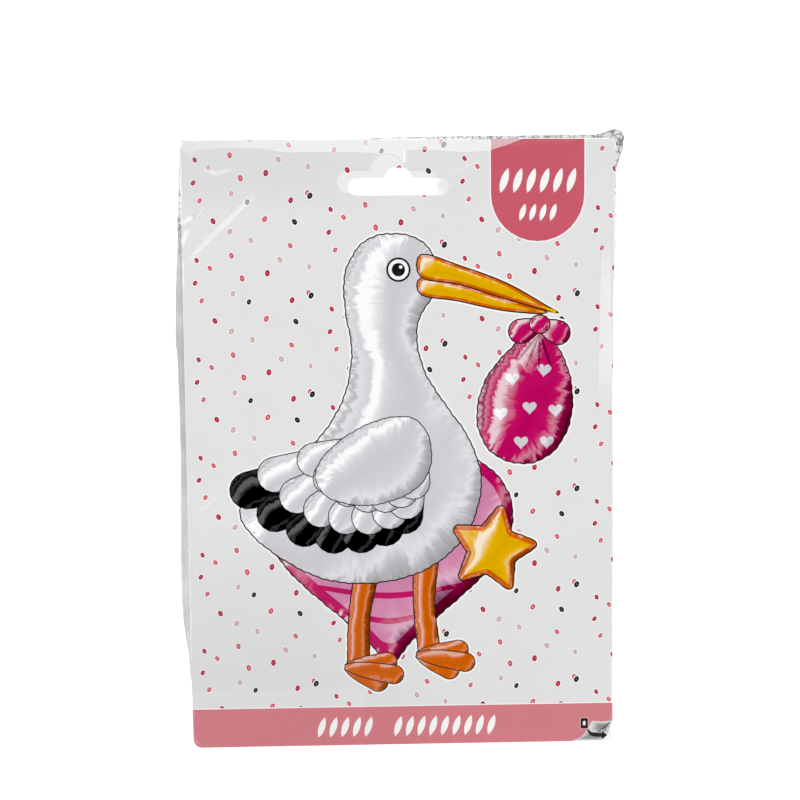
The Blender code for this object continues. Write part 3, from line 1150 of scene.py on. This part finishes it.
def fold_section(settings):
    """Return the folded strip's cross-section in millimetres, x across and y up."""
    left, right = FOLD_LOW.x / MM, FOLD_HIGH.x / MM
    bottom = FOLD_LOW.z / MM
    pitch = settings.leaf + settings.gap
    inner = settings.gap / 2
    outer = inner + settings.leaf
    under, over = [at(left, bottom)], [at(left, bottom + settings.leaf)]
    for turn in range(settings.leaves - 1):
        side = 1 - 2 * (turn % 2)
        centre = at((right if side > 0 else left) - side * outer, bottom + outer + turn * pitch)
        for step in range(TURN_STEPS + 1):
            angle = pi * step / TURN_STEPS - pi / 2
            spoke = at(side * cos(angle), sin(angle))
            under.append(centre + spoke * (outer if side > 0 else inner))
            over.append(centre + spoke * (inner if side > 0 else outer))
    top = FOLD_HIGH.z / MM
    even = settings.leaves % 2 == 0
    end = left if even else right
    under.append(at(end, top - (0.0 if even else settings.leaf)))
    over.append(at(end, top - (settings.leaf if even else 0.0)))
    return split_long(under, FOLD_PITCH), split_long(over, FOLD_PITCH)


def split_long(points, pitch):
    """Return the line with its long runs split."""
    line = []
    for a, b in zip(points, points[1:]):
        pieces = max(1, round((b - a).length / pitch))
        line += [a.lerp(b, piece / pieces) for piece in range(pieces)]
    return line + [points[-1]]


def add_balloon(settings):
    """Add the folded balloon."""
    under, over = fold_section(settings)
    outline = under + over[::-1]
    low, high = FOLD_LOW.y / MM, FOLD_HIGH.y / MM
    shape = bmesh.new()
    face = shape.faces.new([shape.verts.new((point.x, low, point.y)) for point in outline])
    ring = list(face.edges)
    pitch = (high - low) / FOLD_ROWS
    for _ in range(FOLD_ROWS):
        added = bmesh.ops.extrude_edge_only(shape, edges=ring)["geom"]
        ring = [edge for edge in only(bmesh.types.BMEdge, added) if edge.is_boundary]
        bmesh.ops.translate(shape, verts=only(bmesh.types.BMVert, added), vec=(0.0, pitch, 0.0))
    bmesh.ops.contextual_create(shape, geom=ring)
    bmesh.ops.triangulate(shape, faces=[face for face in shape.faces if len(face.verts) > 4])
    bmesh.ops.recalc_face_normals(shape, faces=shape.faces)
    left, _, bottom = FOLD_LOW / MM
    for vert in shape.verts:
        x, y, z = vert.co
        near_left = max(0.0, 1 - (x - left) / FOLD_EASE)
        edge = between(LEFT_EDGE, y - ORIGIN.y / MM) + ORIGIN.x / MM + FOLD_INSET
        x += (edge - left) * near_left
        crinkle = wander(x / 9, y / 13, z * 2) + 0.4 * wander(x / 3.1, y / 4.3, z * 2 + 5)
        if z < bottom + settings.leaf / 2:
            z += max(-0.25, crinkle * settings.crinkle)
        x += near_left * FOLD_RAGGED * wander(z * 3, y / 5, 2.0)
        vert.co = (x * MM, y * MM, z * MM)
    for face in shape.faces:
        face.smooth = True
    piece = add_piece("balloon_fold", shape, [silver_finish(settings)],
                      "folded_balloon")
    piece.data.set_sharp_from_angle(angle=radians(50))


# The film's shape, in the drawing's millimetres: its sides as (y, x), its top as (x, y)
LEFT_EDGE = [(104.8, -74.6), (98.0, -74.9), (85.0, -75.5), (65.0, -76.8), (51.0, -77.5),
             (38.0, -77.9), (30.0, -77.2), (-4.0, -76.8), (-28.0, -77.3), (-52.0, -77.6),
             (-60.0, -77.1), (-67.0, -76.3), (-74.0, -75.4), (-88.0, -74.7), (-104.6, -74.2)]
RIGHT_EDGE = [(88.0, 74.0), (74.0, 73.95), (65.0, 73.8), (57.0, 73.5), (48.0, 73.1), (5.0, 73.1),
              (-12.0, 73.4), (-65.0, 73.5), (-104.0, 73.6)]
TOP_EDGE = [(66.0, 106.4), (50.0, 106.3), (18.0, 106.1), (-8.0, 105.7), (-30.0, 105.4),
            (-38.0, 105.1), (-74.0, 105.0)]
# The line to which the film's upper lip lies off the card, and how much painted light it gets by
# x: white with a faint glow, so that the lip shows as bright as the bare card
LIP = [(-80.0, 108.0), (-80.0, 103.0), (-74.6, 102.7), (-71.6, 100.0), (-68.9, 101.4),
       (-64.5, 102.1), (-48.2, 102.2), (-39.5, 100.9), (-30.0, 100.8), (-18.7, 100.9),
       (-6.1, 100.1), (-2.3, 99.1), (0.9, 96.8), (1.6, 98.0), (2.0, 101.0), (7.0, 101.4),
       (30.5, 101.2), (38.5, 110.0)]
LIP_PAINTED_LIGHT = [(70.0, 0.21), (-20.0, 0.21), (-50.0, 0.17), (-60.0, 0.04), (-75.0, 0.04)]

# Streaks where the film is creased, painted milky white in place of their reflections (painted
# reflection): two ends, half width, how much painted white, how proud
Crease = namedtuple("Crease", "start end half white height", defaults=[0.0])
CREASES = [
    Crease((-48.0, 88.2), (-74.6, 62.6), 1.15, 0.20),
    Crease((-66.8, 96.2), (-62.6, 93.4), 1.1, 0.22),
    Crease((-63.6, 93.4), (-56.6, 95.4), 0.9, 0.22),
    Crease((-70.4, 79.7), (-74.6, 76.6), 1.0, 0.34),
    Crease((-66.2, 83.2), (-70.6, 77.0), 0.25, 0.26),
    Crease((-72.4, 75.2), (-75.0, 68.4), 1.0, 0.34),
    Crease((-74.3, 80.6), (-74.3, 100.4), 0.3, 0.34),
    Crease((-74.2, 54.0), (-74.0, 66.0), 0.3, 0.30),
    Crease((1.3, 97.2), (1.3, 101.0), 0.3, 0.2, 0.2),
    Crease((15.0, 92.0), (29.0, 99.0), 0.7, 0.08),
    Crease((70.2, 16.0), (70.2, 70.0), 2.6, 0.18),
    Crease((-71.0, -22.0), (-63.0, -16.0), 0.8, 0.08),
]

# The film's patches: the sheet, its slot, its lip, then the creases
SLOT_COVER, LIP_COVER = 1, 2
# The most painted white, which is painted light, that the film gets at a point
MOST_PAINTED_LIGHT = 0.7
# The film is folded tightly this near its edge, and wherever it passes the card above a height;
# there it gets the grey painted shade of folded film
EDGE_FOLD = 0.30
EDGE_FOLD_FOOT = 60.0
# The seal across the bag's foot, and where it fades out
SEAL_Y = -84.8
SEAL_END = -14.0
# The creased corner starts where x + y passes a value, and is full a little further on
EAR_FROM = 164.0
EAR_EASE = 6.0
CARD_CORNER = 3.0
# Heights: the film's back under the fold, its seam, and how far the seam dips by the fold
BACK_LEVEL = 0.03
SEAM_LEVEL = 4.7
SEAM_DIP = 2.3
# Insets of the rows of points along the film's edge, and the run over which its front rounds
EDGE_ROWS = (0.12, 0.32, 0.7, 1.2)
EDGE_ROUND = 0.32
EDGE_PITCH = 1.3


# The creased corner: its side as (inset from the right, y), its top as (inset, drop)
EAR_SIDE = [(2.9, 91.0), (3.0, 94.0), (2.3, 96.5), (1.6, 99.0), (0.6, 101.5), (0.5, 104.0),
            (0.1, 105.6)]
EAR_TOP = [(0.9, 0.9), (2.0, 0.2), (3.6, 0.0), (5.0, 0.4), (7.2, 1.3)]


def bag_outline():
    """Return the bag's outline with its creased corner."""
    right, upper, _ = (BAG_HIGH - ORIGIN) / MM
    lower = (BAG_LOW.y - ORIGIN.y) / MM
    outline = [at(x, y) for y, x in LEFT_EDGE]
    outline += [at(x, lower) for x in range(-72, 73, 4)]
    outline.append(at(CARD_RIGHT - 0.1, lower + 0.1))
    outline += [at(between(RIGHT_EDGE, y), y) for y in range(-104, 86, 4)]
    outline += [at(right - inset, y) for inset, y in EAR_SIDE]
    outline += [at(right - inset, upper - drop) for inset, drop in EAR_TOP]
    return outline + [at(x, between(TOP_EDGE, x)) for x in range(66, -75, -4)]


def crease_place(crease, x, y):
    """Return how far along a crease a point lies, and how far off its middle line."""
    (ax, ay), (bx, by) = crease.start, crease.end
    dx, dy = bx - ax, by - ay
    span = hypot(dx, dy)
    return ((x - ax) * dx + (y - ay) * dy) / span ** 2, ((x - ax) * dy - (y - ay) * dx) / span


def crease_height(x, y):
    """Return the height of the film's creases at a point."""
    total = 0.0
    for crease in CREASES:
        run, off = crease_place(crease, x, y)
        if 0.0 < run < 1.0:
            total += crease.height * max(0.0, 1.0 - abs(off) / crease.half)
    return total


def film_painted_light(x, y, covers):
    """Return the film's painted light and shade at a point: how much painted white, how much
    painted shade where it is taken to lie loose, and how much painted shade where it is folded.
    """
    white = 0.0
    loose = painted_loose_shade(x, y)
    for cover in covers:
        if cover > LIP_COVER:
            crease = CREASES[cover - LIP_COVER - 1]
            run, _ = crease_place(crease, x, y)
            white += crease.white * clamp(min(5 * run, 5 * (1.0 - run)))
    if LIP_COVER in covers:
        white += between(LIP_PAINTED_LIGHT, x)
        loose = 0.0
    return min(white, MOST_PAINTED_LIGHT), loose, painted_fold_shade(x, y)


def painted_loose_shade(x, y):
    """Return the share of painted shade over the print where the film is taken to lie loose,
    strongest near the top and the bottom on the left: 0 to 1.
    """
    upper = clamp((y - 78.0) / 18.0, 0.7) * max(0.25, clamp((20.0 - x) / 60.0))
    lower = clamp((-28.0 - y) / 50.0) * max(0.2, clamp((35.0 - x) / 70.0))
    past_seal = 0.3 if y < SEAL_Y and x < SEAL_END else 0.0
    return clamp(upper + lower - past_seal + 0.15 * wander(x / 30, y / 30, 5.0))


def ear_share(x, y):
    """Return how much a point belongs to the bag's creased corner: 0 to 1."""
    return clamp(outside_card(x, y) / 0.5) * clamp((x + y - EAR_FROM) / EAR_EASE)


def outside_card(x, y):
    """Return how far a point by one of the card's upper corners is outside the card."""
    inner_y = HALF_HEIGHT - CARD_CORNER
    past_x = max(x - (CARD_RIGHT - CARD_CORNER), CARD_LEFT + CARD_CORNER - x)
    if past_x > 0 and y > inner_y:
        return hypot(past_x, y - inner_y) - CARD_CORNER
    return max(past_x - CARD_CORNER, y - HALF_HEIGHT)


# How much painted shade the film gets where it is folded tightly along its edge: by x along the
# top, by y down the right side
TOP_FOLD_SHADE = [(70.0, 1.0), (52.0, 0.9), (20.0, 0.8), (-6.0, 0.5), (-30.0, 0.3), (-40.0, 0.1),
             (-70.0, 0.1), (-73.0, 0.5), (-74.5, 0.9)]
RIGHT_FOLD_SHADE = [(104.0, 1.0), (92.0, 0.9), (62.0, 0.8), (54.0, 0.15), (-105.0, 0.1)]
LEFT_FOLD_SHADE = [(104.0, 0.5), (82.0, 0.7), (79.0, 0.9), (76.0, 0.8), (74.0, 0.3), (62.0, 0.05),
              (-105.0, 0.05)]


def painted_fold_shade(x, y):
    """Return the share of painted shade where the film is folded at a point: 0 to 1."""
    fold_shade = 0.1
    if y > HALF_HEIGHT - 0.5:
        fold_shade = between(TOP_FOLD_SHADE, x)
    elif x > CARD_RIGHT - 1.5:
        fold_shade = between(RIGHT_FOLD_SHADE, y)
    elif x < CARD_LEFT:
        fold_shade = between(LEFT_FOLD_SHADE, y)
    return max(fold_shade, ear_share(x, y))


def film_front(x, y, edge, settings):
    """Return the height of the bag's front over the packet at a point."""
    past = max(CARD_LEFT - 0.2 - x, x - CARD_RIGHT, abs(y) - HALF_HEIGHT, 0.0)
    cover = CARD_HIGH.z / MM + 0.10 - 0.32 * min(past, 2.0)
    wave = wander(x / 36, y / 55, 3.0) + 0.3 * wander(x / 12, y / 17, 7.0)
    lift = max(0.0, settings.wave * (wave + 0.55)) + crease_height(x, y)
    crumple = 0.9 * wander(x / 1.9, y / 2.6, 1.0) + 0.5 * abs(wander(x / 0.9, y / 1.2, 4.0))
    top = cover + lift * min(1.0, edge / 3.0) + crumple * ear_share(x, y) * min(1.0, edge / 0.4)
    seam = seam_height(x, y)
    return seam + (top - seam) * (1 - (1 - min(1.0, edge / EDGE_ROUND)) ** 2) ** 0.5


def seam_height(x, y):
    """Return the height at which the bag's front and back meet at a point of its edge."""
    by_fold = clamp((-71.0 - x) / 3.0) * clamp((75.0 - y) / 8.0) * clamp((y + 84.0) / 8.0)
    crumple = 0.5 * wander(x / 1.5, y / 1.5, 9.0)
    return SEAM_LEVEL - SEAM_DIP * by_fold + crumple * ear_share(x, y)


def film_back(x, y, edge):
    """Return the height of the bag's back at a point."""
    left, lower, _ = (FOLD_LOW - ORIGIN) / MM
    right, upper, _ = (FOLD_HIGH - ORIGIN) / MM
    past = hypot(max(left + 0.3 - x, x - right, 0.0), max(lower - y, y - upper, 0.0))
    share = past / (past + edge + 1e-6)
    level = BACK_LEVEL + (seam_height(x, y) - BACK_LEVEL) * share ** 1.15
    pucker = 0.22 * wander(x / 7, y / 9, 12.0) * min(1.0, past / 4.0)
    lap = sum(0.10 * exp(-((x - side) / 0.5) ** 2) for side in (4.0, -4.0))
    return level + (pucker + lap) * min(1.0, edge / 3.0)


def add_film(settings):
    """Add the clear bag: a front and a back sheet that meet at its edge."""
    outline = bag_outline()
    dense = split_long(outline + outline[:1], EDGE_PITCH)[:-1]
    edge_line = table(dense)
    patches = [Patch("film", dense), Patch(CUT, slot_outline(*BAG_SLOT)),
               Patch("lip", smooth(LIP, 4))]
    patches += [Patch("crease", band_outline([crease.start, crease.end],
                                             [2.0 * crease.half, 1.1 * crease.half]))
                for crease in CREASES]
    spots = [point for inset in EDGE_ROWS for point in grown(dense, -inset)]
    spots += grid_spots(-74, 74, -103, 103, settings.spacing)
    spots += grid_spots(70, 76, 86, 107, 0.6) + grid_spots(60, 76, 104.6, 107, 0.6)
    spots += [at(x / 2, SEAL_Y + side) for x in range(-146, -28) for side in (-0.12, 0.12)]
    spots = table(spots)
    spots = spots[inside(spots[:, 0], spots[:, 1], edge_line)]
    points, faces, origins = partition(patches, [at(*spot) for spot in spots])
    places = table(points)
    edges = np.concatenate([seam_place(part[:, 0], part[:, 1], edge_line)[0]
                            for part in np.array_split(places, 40)])
    shape = bmesh.new()
    wear = shape.loops.layers.float_vector.new("wear")
    for front in (True, False):
        verts = []
        for (x, y), edge in zip(places, edges):
            z = film_front(x, y, edge, settings) if front else film_back(x, y, edge)
            verts.append(shape.verts.new((x * MM + ORIGIN.x, y * MM + ORIGIN.y, z * MM)))
        for corners, origin in zip(faces, origins):
            if 0 not in origin or SLOT_COVER in origin:
                continue
            turn = corners if front else corners[::-1]
            face = shape.faces.new([verts[index] for index in turn])
            face.smooth = True
            if not front:
                continue
            # Painted light and shade of the film's front, on its face corners
            for loop, index in zip(face.loops, turn):
                loop[wear] = film_painted_light(*places[index], origin)
            # Faces by the edge, and past the card's upper corners, take the grey painted shade of
            # folded film
            x, y = places[corners].mean(axis=0)
            past = outside_card(x, y) > 0.1 and y > EDGE_FOLD_FOOT
            face.material_index = int(past or edges[corners].mean() < EDGE_FOLD)
    drop_loose_points(shape)
    rim = [vert for vert in shape.verts if vert.is_boundary]
    bmesh.ops.remove_doubles(shape, verts=rim, dist=0.000002)
    piece = add_piece("film_sleeve", shape, [film_finish(settings), fold_shade_finish()],
                      "film_bag")
    wall = piece.modifiers.new("film thickness", "SOLIDIFY")
    wall.thickness = settings.thickness * MM
    wall.offset = 0.0


# Stage

# The floor lies just under the packet, in metres
FLOOR_LEVEL = -0.0001
# Soft boxes: direction, height in degrees and share of the light, then side and reach in metres
SOFT_BOXES = [(40, 48, 1.0), (130, 44, 1.15), (222, 46, 0.9), (318, 42, 0.9)]
SOFT_BOX_SIZE = 0.42
SOFT_BOX_REACH = 0.9


def floor_finish(settings):
    """Return the floor's plain pale surface."""
    finish = Finish("pale_floor")
    cloud = finish.noise(finish.place(), 3.0)
    shade = finish.blend(cloud, mixed(settings.floor, BLACK, 0.01), tuple(settings.floor))
    return finish.close(finish.surface({
        "Base Color": shade, "Roughness": 0.9, "Specular IOR Level": 0.0,
        "Emission Color": (*WHITE, 1.0), "Emission Strength": settings.glow}))


def add_floor(settings):
    """Add the floor."""
    shape = bmesh.new()
    bmesh.ops.create_grid(shape, x_segments=1, y_segments=1, size=settings.floor_size / 2)
    bmesh.ops.translate(shape, verts=shape.verts, vec=(0.0, 0.0, FLOOR_LEVEL))
    floor = add_mesh("floor", shape, [floor_finish(settings)])


def add_lights(settings):
    """Add four soft boxes in a ring round a dim sky."""
    for index, (turn, height, share) in enumerate(SOFT_BOXES):
        data = bpy.data.lights.new(f"soft box {index + 1}", "AREA")
        data.shape = "SQUARE"
        data.size = SOFT_BOX_SIZE
        data.energy = settings.light * share * pi * SOFT_BOX_SIZE ** 2
        light = add_object(data.name, data)
        azimuth, climb = radians(turn), radians(height)
        spot = Vector((cos(azimuth) * cos(climb), sin(azimuth) * cos(climb), sin(climb)))
        light.location = spot * SOFT_BOX_REACH
        light.rotation_euler = spot.to_track_quat("Z", "Y").to_euler()


def add_sky(settings):
    """Add the room's light: dim overhead, where the film mirrors it, and pale walls."""
    sky = Finish("studio", "worlds")
    east, north, _ = sky.parts(sky.node("ShaderNodeTexCoord", "Generated", {}, {}))
    off_top = (east * east + (north + 0.1) * (north + 0.1)) ** 0.5
    wall = sky.ramp(off_top, [
        (0.36, BLACK), (0.50, WHITE), (0.85, (0.9,) * 3), (1.0, (0.55,) * 3)])
    light = sky.node("ShaderNodeBackground", "Background", {}, {
        "Strength": settings.sky + settings.walls * wall})
    bpy.context.scene.world = sky.close(light, "ShaderNodeOutputWorld")


# Camera, from the card's corners in the photograph: it stands a little past upright
CAMERA_PLACE = (-12.3, 45.7, 412.2)
CAMERA_TURN = (-4.06, -1.63, -0.46)


def add_camera(settings):
    """Add the camera above the card."""
    data = bpy.data.cameras.new("camera")
    data.lens = settings.lens
    data.sensor_width = 36.0
    data.clip_start = 0.01
    camera = add_object("camera", data)
    camera.location = ORIGIN + Vector(CAMERA_PLACE) * MM
    camera.rotation_euler = Euler([radians(turn) for turn in CAMERA_TURN])
    bpy.context.scene.camera = camera


# Operators and panel


class PACKET_OT_card(bpy.types.Operator):
    """Add the printed card"""

    bl_idname = "packet.card"
    bl_label = "Printed card"

    def execute(self, context):
        add_card(context.scene.packet_card)
        return {"FINISHED"}


class PACKET_OT_balloon(bpy.types.Operator):
    """Add the folded foil balloon"""

    bl_idname = "packet.balloon"
    bl_label = "Folded balloon"

    def execute(self, context):
        add_balloon(context.scene.packet_balloon)
        return {"FINISHED"}


class PACKET_OT_film(bpy.types.Operator):
    """Add the clear film bag"""

    bl_idname = "packet.film"
    bl_label = "Film bag"

    def execute(self, context):
        add_film(context.scene.packet_film)
        return {"FINISHED"}


class PACKET_OT_stage(bpy.types.Operator):
    """Add the floor, the soft boxes and the camera"""

    bl_idname = "packet.stage"
    bl_label = "Stage"

    def execute(self, context):
        settings = context.scene.packet_stage
        add_floor(settings)
        add_lights(settings)
        add_sky(settings)
        add_camera(settings)
        view = context.scene.view_settings
        view.view_transform = "Standard"
        view.use_curve_mapping = True
        view.curve_mapping.black_level = (settings.black_point,) * 3
        view.curve_mapping.update()
        return {"FINISHED"}


class PACKET_PT_panel(bpy.types.Panel):
    """The packet's pieces and their settings"""

    bl_idname = "PACKET_PT_panel"
    bl_label = "Foil balloon packet"
    bl_space_type = "VIEW_3D"
    bl_region_type = "UI"
    bl_category = "Packet"

    def draw(self, context):
        for name, (settings, operator) in PIECES.items():
            box = self.layout.box()
            box.operator(operator.bl_idname)
            for key in settings.__annotations__:
                box.prop(getattr(context.scene, name), key)


PIECES = {
    "packet_card": (CardSettings, PACKET_OT_card),
    "packet_balloon": (BalloonSettings, PACKET_OT_balloon),
    "packet_film": (FilmSettings, PACKET_OT_film),
    "packet_stage": (StageSettings, PACKET_OT_stage),
}


def register():
    """Register the settings, the operators and the panel."""
    for name, (settings, operator) in PIECES.items():
        bpy.utils.register_class(settings)
        bpy.utils.register_class(operator)
        setattr(bpy.types.Scene, name, bpy.props.PointerProperty(type=settings))
    bpy.utils.register_class(PACKET_PT_panel)


def unregister():
    """Take the panel, the operators and the settings away again."""
    bpy.utils.unregister_class(PACKET_PT_panel)
    for name, (settings, operator) in PIECES.items():
        delattr(bpy.types.Scene, name)
        bpy.utils.unregister_class(operator)
        bpy.utils.unregister_class(settings)


def write_sizes():
    """Update the view layer."""
    bpy.context.view_layer.update()


def main():
    """Make the packet and its stage."""
    register()
    bpy.ops.packet.card()
    bpy.ops.packet.balloon()
    bpy.ops.packet.film()
    bpy.ops.packet.stage()
    write_sizes()


if __name__ == "__main__":
    main()
